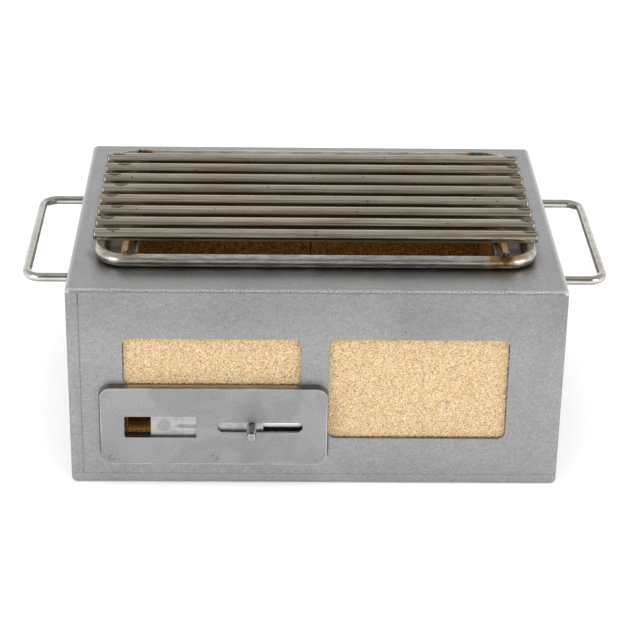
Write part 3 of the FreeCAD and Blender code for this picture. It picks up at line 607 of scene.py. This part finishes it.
def firebrick(name):
    """Pressed granular brick: cream, tan and orange grains, flecks and pores; inside the chamber browned by
    fire and darkened as painted shade, and painted shade in the air tunnel.
    """
    graph = Graph(name, 0.0, 0.92, (0.7, 0.5, 0.29))
    graph.shader.inputs["Specular IOR Level"].default_value = 0.2
    away, lots = graph.cells(1800.0)
    colour = brick_grains(graph, lots)
    flake = graph.smooth(graph.noise(340.0, 4.0, 0.65), 0.38, 0.62)
    colour = graph.shade(colour, graph.span(flake, 0.93, 1.03))
    dark_away, dark_lots = graph.cells(820.0)
    near = graph.smooth(dark_away, 0.2, 0.4, 1.0, 0.0)
    fleck = graph.math("MULTIPLY", near, graph.math("GREATER_THAN", dark_lots[1], 0.87))
    colour = graph.mix(graph.math("MULTIPLY", fleck, 0.75), colour, (0.14, 0.08, 0.04))
    pores = graph.smooth(graph.noise(1700.0, 3.0, 0.6), 0.34, 0.52)
    colour = graph.shade(colour, graph.span(pores, 0.82, 1.04))
    rim, chips = window_rim(graph)
    colour = graph.mix(rim, colour, (0.24, 0.15, 0.05))
    colour = graph.mix(chips, colour, (0.04, 0.025, 0.01))
    # Fire-browning and painted shade on the faces round the fire.
    fired_and_shaded = fired_and_shaded_brick(graph, colour, lots, fleck)
    colour = graph.mix(inside_chamber(graph), colour, fired_and_shaded)
    throat, painted_shade = inside_tunnel(graph)
    scorched = graph.mix(1.0, colour, (1.3, 0.9, 0.36), "MULTIPLY")
    colour = graph.mix(throat, colour, scorched)
    colour = graph.mix(painted_shade, colour, (0.012, 0.008, 0.005))
    grains = graph.math("MULTIPLY", away, 0.8)
    height = graph.math("SUBTRACT", graph.math("MULTIPLY", pores, 0.6), grains)
    return graph.finish(colour, None, graph.bump(height, 0.3 * MM, 0.7))


def brick_grains(graph, lots):
    """Colours of the pressed grains, from brown to cream, with some orange and some yellow ones."""
    red, green, blue = lots
    colour = graph.ramp(
        red,
        [
            (0.0, (0.25, 0.15, 0.07)),
            (0.16, (0.55, 0.365, 0.18)),
            (0.5, (0.72, 0.53, 0.3)),
            (0.82, (0.83, 0.65, 0.41)),
            (1.0, (1.0, 0.88, 0.66)),
        ],
    )
    orange = graph.math("GREATER_THAN", green, 0.85)
    colour = graph.mix(graph.math("MULTIPLY", orange, 0.85), colour, (0.85, 0.43, 0.17))
    yellow = graph.math("GREATER_THAN", blue, 0.8)
    colour = graph.mix(graph.math("MULTIPLY", yellow, 0.8), colour, (0.78, 0.66, 0.3))
    return graph.mix(1.0, colour, (0.92, 0.915, 0.97), "MULTIPLY")


def fired_and_shaded_brick(graph, colour, lots, fleck):
    """The brick's colour browned by the fire and darkened further as painted shade, with coarse dark
    patches and a few bright grains.
    """
    spark = graph.math("MULTIPLY", graph.math("GREATER_THAN", lots[2], 0.9), 0.8)
    fired_and_shaded = graph.mix(1.0, colour, (0.37, 0.215, 0.052), "MULTIPLY")
    fired_and_shaded = graph.shade(fired_and_shaded, graph.span(lots[0], 0.3, 1.75))
    coarse = graph.smooth(graph.noise(620.0, 3.0, 0.7), 0.35, 0.65)
    fired_and_shaded = graph.shade(fired_and_shaded, graph.span(coarse, 0.6, 1.4))
    fired_and_shaded = graph.mix(graph.math("MULTIPLY", fleck, 0.8), fired_and_shaded, (0.012, 0.008, 0.004))
    return graph.mix(spark, fired_and_shaded, (0.36, 0.2, 0.05))


def inside_chamber(graph):
    """1 on the faces round the fire and under it, 0 on the outer faces and on the walls' tops."""
    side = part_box("side_brick_right")[0].x
    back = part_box("back_brick_right")[0].y
    across = graph.smooth(graph.math("ABSOLUTE", graph.x), side + 0.5 * MM, side + 1.6 * MM, 1.0, 0.0)
    deep = graph.smooth(graph.math("ABSOLUTE", graph.y), back + 0.5 * MM, back + 1.6 * MM, 1.0, 0.0)
    return graph.math("MULTIPLY", across, deep)


def inside_tunnel(graph):
    """Two masks: the air tunnel and its mouth, and painted shade in its depth, round its mouth and behind
    the slot.
    """
    low, high = TUNNEL
    on_face = graph.math("LESS_THAN", graph.y, low.y + 1.2 * MM)
    level = graph.off(graph.z, (low.z + high.z) / 2)
    half = (high.z - low.z) / 2
    tall = graph.smooth(level, half + 2 * MM, half + 4 * MM, 1.0, 0.0)
    wide = graph.smooth(graph.x, high.x + 1 * MM, high.x + 2 * MM, 1.0, 0.0)
    throat = graph.math("MULTIPLY", tall, wide)
    # Painted shade: below the tunnel's mouth, deeper inside it, beside it, and on the brick behind the
    # slot.
    below = graph.smooth(graph.z, low.z - 1.3 * MM, low.z - 0.9 * MM, 0.95, 0.0)
    upward = graph.smooth(graph.z, low.z + 1 * MM, low.z + 13 * MM, 0.1, 0.85)
    inward = graph.smooth(graph.y, low.y + 9 * MM, low.y + 26 * MM, 0.0, 0.85)
    beside = graph.smooth(graph.x, low.x + 0.2 * MM, low.x + 1.0 * MM, 0.55, 0.0)
    painted_shade = graph.math("MULTIPLY", below, on_face)
    painted_shade = graph.math("MAXIMUM", painted_shade, graph.math("MAXIMUM", upward, inward))
    painted_shade = graph.math("MAXIMUM", painted_shade, beside)
    painted_shade = graph.math("MULTIPLY", throat, painted_shade)
    slot = graph.smooth(graph.x, high.x + 4 * MM, high.x + 6 * MM)
    slot = graph.math("MULTIPLY", slot, graph.smooth(graph.x, 1 * MM, 3 * MM, 0.95, 0.0))
    slot = graph.math("MULTIPLY", slot, graph.math("LESS_THAN", level, half + 6 * MM))
    slot = graph.math("MULTIPLY", slot, on_face)
    return throat, graph.math("MAXIMUM", painted_shade, slot)


def window_rim(graph):
    """Two masks along the bottom and outer side of the windows: the shaded rim and its dark chips."""
    front = graph.math("LESS_THAN", graph.y, TUNNEL[0].y + 1.2 * MM)
    left = graph.math("LESS_THAN", graph.x, 0.0)
    edge = graph.math("MULTIPLY_ADD", left, LEFT_WINDOW_SIDE - RIGHT_WINDOW_SIDE, RIGHT_WINDOW_SIDE)
    aside = graph.math("SUBTRACT", edge, graph.math("ABSOLUTE", graph.x))
    sill = graph.math("MULTIPLY_ADD", left, LEFT_SILL - RIGHT_SILL, RIGHT_SILL)
    above = graph.math("SUBTRACT", graph.z, sill)
    bottom = graph.smooth(above, 0.2 * MM, 0.8 * MM, 0.7, 0.0)
    side = graph.smooth(aside, 0.4 * MM, 1.0 * MM, 0.4, 0.0)
    rim = graph.math("MULTIPLY", graph.math("MAXIMUM", bottom, side), front)
    crumbs = graph.smooth(graph.noise(640.0, 3.0, 0.65), 0.49, 0.56)
    near = graph.smooth(graph.math("MINIMUM", aside, above), 0.3 * MM, 1.0 * MM, 0.95, 0.0)
    chips = graph.math("MULTIPLY", graph.math("MULTIPLY", crumbs, near), front)
    return rim, chips


# ---------------------------------------------------------------- pieces


def piece(name, mesh, body, stands_for, material, smooth=True):
    """Makes an object that rides on a body and stands for a CAD node."""
    thing = bpy.data.objects.new(name, mesh)
    bpy.context.scene.collection.objects.link(thing)
    mesh.materials.append(material)
    for face in mesh.polygons:
        face.use_smooth = smooth
    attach(thing, body)
    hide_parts(stands_for)
    return thing


def steps(low, high, pitch):
    """Evenly spaced places from low to high, about a pitch apart."""
    count = max(1, round((high - low) / pitch))
    return [low + (high - low) * i / count for i in range(count + 1)]


def brick_mesh(name, low, high, tunnel=None):
    """A brick as a fine surface grid, its edges worn and chipped, with an optional tunnel along Y."""
    lines = []
    for axis in range(3):
        cuts = [low[axis], high[axis]]
        if tunnel and axis != 1:
            cuts = sorted(cuts + [tunnel[0][axis], tunnel[1][axis]])
        places = []
        for start, end in zip(cuts, cuts[1:]):
            places += steps(start, end, BRICK_PITCH)[:-1]
        lines.append(places + [cuts[-1]])
    counts = [len(line) - 1 for line in lines]

    def solid(cell):
        if any(not 0 <= cell[axis] < counts[axis] for axis in range(3)):
            return False
        if not tunnel:
            return True
        middle = [(lines[a][cell[a]] + lines[a][cell[a] + 1]) / 2 for a in range(3)]
        return not all(tunnel[0][a] < middle[a] < tunnel[1][a] for a in (0, 2))

    mesh = bmesh.new()
    made = {}

    def corner(key):
        if key not in made:
            place = Vector([lines[a][key[a]] for a in range(3)])
            made[key] = mesh.verts.new(worn(place, low, high))
        return made[key]

    def add_face(cell, axis, way):
        ring = []
        for da, db in ((0, 0), (1, 0), (1, 1), (0, 1)):
            key = list(cell)
            key[axis] += way
            key[(axis + 1) % 3] += da
            key[(axis + 2) % 3] += db
            ring.append(corner(tuple(key)))
        mesh.faces.new(ring if way else ring[::-1])

    cells = [cell for cell in product(*(range(count) for count in counts)) if solid(cell)]
    for axis in range(3):
        for cell in cells:
            for way in (0, 1):
                other = list(cell)
                other[axis] += 1 if way else -1
                if not solid(other):
                    add_face(cell, axis, way)
    data = bpy.data.meshes.new(name)
    mesh.to_mesh(data)
    mesh.free()
    return data


def worn(place, low, high):
    """Moves a point of a brick's surface inward, most along its edges, never at the middle joint."""
    middle = (low + high) / 2
    if abs(place.x) < 0.5 * MM:
        return place
    depths = sorted(min(place[a] - low[a], high[a] - place[a]) for a in range(3))
    near_edge = max(0.0, 1 - depths[1] / (4.0 * MM))
    grain = noise.noise(place * 160) * 0.5 + 0.5
    chip = max(0.0, noise.noise(place * 75 + Vector((3.1, 1.7, 5.3))) - 0.05)
    inward = Vector([math.copysign(1, middle[a] - place[a]) for a in range(3)])
    shift = Vector((0, 0, 0))
    for axis in range(3):
        depth = min(place[axis] - low[axis], high[axis] - place[axis])
        if depth < 0.01 * MM:
            shift[axis] = inward[axis] * (0.1 * MM * grain + near_edge * (0.45 + 1.9 * chip) * MM)
    return place + shift


def make_bricks(material):
    """The eight bricks of the lining; the air tunnel runs through the left front one."""
    for node in BRICKS:
        low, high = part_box(node)
        tunnel = TUNNEL if node == "front_brick_left" else None
        mesh = brick_mesh(node + "_looks", low, high, tunnel)
        piece(node + "_looks", mesh, "casing", node, material, smooth=False)


def lump(mesh, centre, radii, seed, rough):
    """Adds one closed, slightly irregular bead to a mesh being built."""
    made = bmesh.ops.create_icosphere(mesh, subdivisions=4, radius=1.0)["verts"]
    shift = Vector((seed * 7.3, seed * 1.9, 0))
    for vertex in made:
        swell = 1 + rough * noise.noise(vertex.co * 1.7 + shift)
        bubble = 1 + 0.5 * rough * noise.noise(vertex.co * 4.5 + shift)
        vertex.co = Vector([vertex.co[a] * radii[a] * swell * bubble + centre[a] for a in range(3)])


def make_bead_groups(bar_material, strap_material):
    """The beads under the bar ends and at the ends of the straps."""
    bars = bmesh.new()
    straps = bmesh.new()
    contact = (RAIL_LEVEL + BAR_LINES[0].z) / 2
    for side in (-1, 1):
        for number, line in enumerate(BAR_LINES):
            radii = (2.5 * MM, 2.3 * MM, 1.4 * MM)
            lump(bars, (side * RAIL_X, line.y, contact), radii, number + side * 0.5, 0.1)
        for end, back in enumerate((RAIL_FRONT + 3.4 * MM, RAIL_BACK - 3.4 * MM)):
            place = (side * STRAP_WELD_X, back, RAIL_LEVEL + 1.7 * MM)
            lump(straps, place, (5.2 * MM, 3.2 * MM, 3.0 * MM), end + side * 3.7, 0.4)
    groups = (("bar_welds", bars, bar_material), ("strap_welds", straps, strap_material))
    for name, mesh, material in groups:
        data = bpy.data.meshes.new(name + "_looks")
        mesh.to_mesh(data)
        mesh.free()
        piece(name + "_looks", data, "cooking_grate", name, material)


def ring_mesh(name, rings):
    """A closed fillet of weld metal round each handle leg, rippled as a welder leaves it."""
    turns, layers = 72, 9
    foot, throat, bore, rise = 5.3 * MM, 3.2 * MM, 2.9 * MM, 2.55 * MM
    mesh = bmesh.new()
    for side, centre in rings:
        loops = []
        for layer in range(layers + 1):
            share = layer / layers
            radius = throat + (foot - throat) * (1 - math.sin(share * math.pi / 2))
            out = rise * (1 - math.cos(share * math.pi / 2))
            loops.append((radius, out, share))
        profile = loops + [(bore, rise * 0.96, None), (bore, 0.0, None)]
        rows = []
        for radius, out, share in profile:
            row = []
            for turn in range(turns):
                angle = 2 * math.pi * turn / turns
                ripple = 0.0
                if share is not None:
                    around = Vector((math.cos(angle), math.sin(angle), side))
                    ripple = 0.13 * MM * math.sin(angle * 17 + share * 2.0) * math.sin(share * math.pi)
                    ripple += 0.25 * MM * noise.noise(around * 1.6)
                    ripple = min(ripple, foot - radius)
                spread = radius + ripple
                offset = Vector((side * out, math.cos(angle) * spread, math.sin(angle) * spread))
                row.append(mesh.verts.new(centre + offset))
            rows.append(row)
        for first, second in zip(rows, rows[1:] + rows[:1]):
            for turn in range(turns):
                after = (turn + 1) % turns
                mesh.faces.new((first[turn], first[after], second[after], second[turn]))
    bmesh.ops.recalc_face_normals(mesh, faces=mesh.faces)
    data = bpy.data.meshes.new(name)
    mesh.to_mesh(data)
    mesh.free()
    return data


def make_handle_welds(material):
    """The fillets where the two legs of each handle meet the side walls."""
    for side, word in ((-1, "left"), (1, "right")):
        low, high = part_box("handle_" + word)
        level = (low.z + high.z) / 2
        legs = (low.y + HANDLE_ROD / 2, high.y - HANDLE_ROD / 2)
        rings = [(side, Vector((side * WALL_HIGH.x, leg, level))) for leg in legs]
        name = "handle_welds_%s_looks" % word
        piece(name, ring_mesh(name, rings), "casing", "handle_welds_" + word, material)


def dress(node, material, bevel=0.0):
    """Gives a CAD node its material, and breaks its sharp edges by the bevel's width."""
    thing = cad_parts[node]
    thing.data.materials.clear()
    thing.data.materials.append(material)
    if bevel:
        weld = thing.modifiers.new("join", "WELD")
        weld.merge_threshold = 0.001 * MM
        edge = thing.modifiers.new("broken_edges", "BEVEL")
        edge.width = bevel
        edge.segments = 2
        edge.limit_method = "ANGLE"
        edge.angle_limit = math.radians(50)
        edge.harden_normals = True


def dress_all():
    """Every CAD node that stays in view gets its material."""
    sheet = (0.32, 0.32, 0.323)
    wall_marks = (darker_towards_top, seam_stain, behind_cover)
    dress("casing_walls", mill_steel("casing_steel", sheet, marks=wall_marks))
    dress("base_tray", mill_steel("tray_steel", sheet))
    # The lid's marks include a painted shadow round the grate's rails.
    lid = mill_steel("lid_steel", (0.4, 0.4, 0.4), 0.33, 0.05 * MM, (ground_edge_and_painted_light, rail_shadow_and_soot))
    dress("top_panel", lid)
    dress("vent_cover", cover_steel("cover_steel"), 0.3 * MM)
    guides = guide_steel("guide_steel")
    for node in ("vent_guide_upper", "vent_guide_lower"):
        dress(node, guides, 0.25 * MM)
    dress("slider_plate", damper_steel("damper_steel"), 0.2 * MM)
    dress("slider_pin", pin_steel("pin_steel"))
    handles = handle_steel("handle_steel")
    for node in ("handle_left", "handle_right"):
        dress(node, handles)
    dress("grate_frame", frame_steel("frame_steel"))
    for number, line in enumerate(BAR_LINES, start=1):
        dress("grate_bar_%d" % number, bar_steel(number, line))
    strap = strap_steel("strap_steel")
    for node in ("cross_strap_left", "cross_strap_right"):
        dress(node, strap, 0.3 * MM)
    fire = fire_steel("fire_steel")
    for node in ("charcoal_grate_frame", "charcoal_grate_rods"):
        dress(node, fire)


# ---------------------------------------------------------------- studio

CAMERA_PLACE = Vector((-0.0314, -1.3051, 0.6999))
CAMERA_TURN = math.radians(1.45)
CAMERA_TILT = math.radians(26.04)
CAMERA_ROLL = math.radians(-0.98)
LENS_LENGTH = 120.0
SENSOR_WIDTH = 36.0


def floor_paper(name):
    """Matt white paper that glows a little, so that it stays white round the grill."""
    material = bpy.data.materials.new(name)
    material.use_nodes = True
    inputs = material.node_tree.nodes["Principled BSDF"].inputs
    inputs["Base Color"].default_value = (0.95, 0.95, 0.95, 1)
    inputs["Roughness"].default_value = 0.9
    inputs["Specular IOR Level"].default_value = 0.1
    inputs["Emission Color"].default_value = (1, 1, 1, 1)
    inputs["Emission Strength"].default_value = 0.17
    return material


def make_floor():
    """A large sheet just below the casing's underside."""
    mesh = bmesh.new()
    bmesh.ops.create_grid(mesh, x_segments=2, y_segments=2, size=6.0)
    data = bpy.data.meshes.new("floor")
    mesh.to_mesh(data)
    mesh.free()
    data.materials.append(floor_paper("floor_paper"))
    floor = bpy.data.objects.new("floor", data)
    floor.location.z = -0.2 * MM
    bpy.context.scene.collection.objects.link(floor)


def softbox(name, place, target, width, height, power, seen=True):
    """A rectangular area light at a place, facing a target; an unseen one leaves no reflection."""
    data = bpy.data.lights.new(name, "AREA")
    data.shape = "RECTANGLE"
    data.size = width
    data.size_y = height
    data.energy = power
    light = bpy.data.objects.new(name, data)
    light.location = place
    light.rotation_euler = (Vector(target) - Vector(place)).to_track_quat("-Z", "Y").to_euler()
    light.visible_glossy = seen
    bpy.context.scene.collection.objects.link(light)


def make_world():
    """White sweep behind and beside the grill, dimmer overhead, dim round the camera."""
    world = bpy.data.worlds.new("tent")
    world.use_nodes = True
    bpy.context.scene.world = world
    tree = world.node_tree
    tree.nodes.clear()

    def add(kind, inputs=None, **settings):
        return add_node(tree, kind, inputs, **settings).outputs[0]

    def smooth(value, low, high, start=0.0, end=1.0):
        inputs = {0: value, 1: low, 2: high, 3: start, 4: end}
        return add("ShaderNodeMapRange", inputs, interpolation_type="SMOOTHSTEP")

    way = add("ShaderNodeTexCoord")
    y, z = add_node(tree, "ShaderNodeSeparateXYZ", {0: way}).outputs[1:]
    rise = smooth(z, 0.2, 0.75, 1.05, 0.52)
    dim = add("ShaderNodeMath", {0: smooth(y, -0.2, -0.75), 1: smooth(z, -0.02, 0.2)}, operation="MULTIPLY")
    keep = add("ShaderNodeMapRange", {0: dim, 3: 1.0, 4: 0.35})
    level = add("ShaderNodeMath", {0: rise, 1: keep}, operation="MULTIPLY")
    grey = add("ShaderNodeCombineColor", {0: level, 1: level, 2: level})
    back = add("ShaderNodeBackground", {0: grey})
    add_node(tree, "ShaderNodeOutputWorld", {"Surface": back})


def make_lights():
    """One large soft light above, which leaves no reflection, and one at each side in front."""
    softbox("overhead", (0, -0.6, 2.0), (0, -0.2, 0), 2.4, 2.4, 32, seen=False)
    softbox("front_left", (-1.5, -1.4, 0.9), (0, 0, 0.1), 1.1, 1.2, 14)
    softbox("front_right", (1.5, -1.3, 0.8), (0, 0, 0.1), 1.0, 1.1, 12)


def make_camera():
    """The camera stands in front, a little left of the middle, and looks down on the grill."""
    turn, tilt, roll = CAMERA_TURN, CAMERA_TILT, CAMERA_ROLL
    ahead = Vector((math.sin(turn) * math.cos(tilt), math.cos(turn) * math.cos(tilt), -math.sin(tilt)))
    right = Vector((math.cos(turn), -math.sin(turn), 0))
    down = ahead.cross(right)
    across = math.cos(roll) * right + math.sin(roll) * down
    up = math.sin(roll) * right - math.cos(roll) * down
    data = bpy.data.cameras.new("camera")
    data.sensor_width = SENSOR_WIDTH
    data.lens = LENS_LENGTH
    data.clip_start = 0.05
    camera = bpy.data.objects.new("camera", data)
    aim = Matrix((across, up, -ahead)).transposed().to_4x4()
    camera.matrix_world = Matrix.Translation(CAMERA_PLACE) @ aim
    bpy.context.scene.collection.objects.link(camera)
    bpy.context.scene.camera = camera


make_camera()
dress_all()
make_bricks(firebrick("firebrick"))
# The beads under the bar ends are dimmed as painted shade.
make_bead_groups(weld_metal("shaded_weld_metal", 0.2), weld_metal("strap_weld_metal", 0.5))
make_handle_welds(weld_metal("weld_metal", 1.0))
make_floor()
make_world()
make_lights()
bpy.context.scene.view_settings.view_transform = "Standard"
